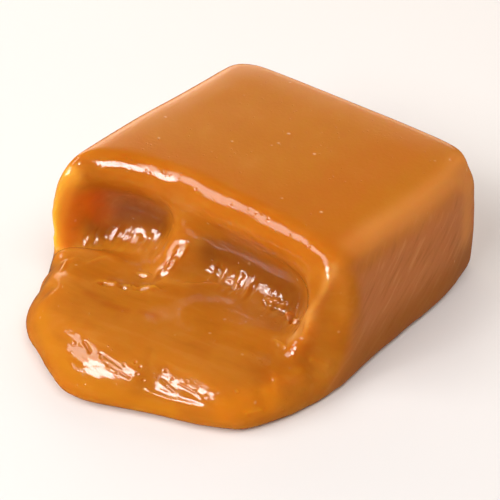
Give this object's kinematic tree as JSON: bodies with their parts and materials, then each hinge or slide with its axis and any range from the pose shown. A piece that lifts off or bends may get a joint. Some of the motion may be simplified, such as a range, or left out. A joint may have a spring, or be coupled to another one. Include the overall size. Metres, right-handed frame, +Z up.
{
  "type": "soft caramel",
  "caption": "Cut square of soft caramel with its front third bitten down: a rounded block with a hollowed front wall and a thick tongue in two lobes running forward from it.",
  "frame": {"origin": "middle of the footprint, on the surface that the caramel lies on", "axes": "+X along the block's front edge to the right, +Y from the tongue to the back of the block, +Z up"},
  "size_m": [0.0284, 0.0346, 0.0114],
  "materials": {
    "caramel": "slightly see-through orange-brown caramel, satin on the cut faces and wet and glossy in the bitten hollow and on the tongue"
  },
  "bodies": {
    "root": {"caramel": "caramel"}
  },
  "joints": []
}
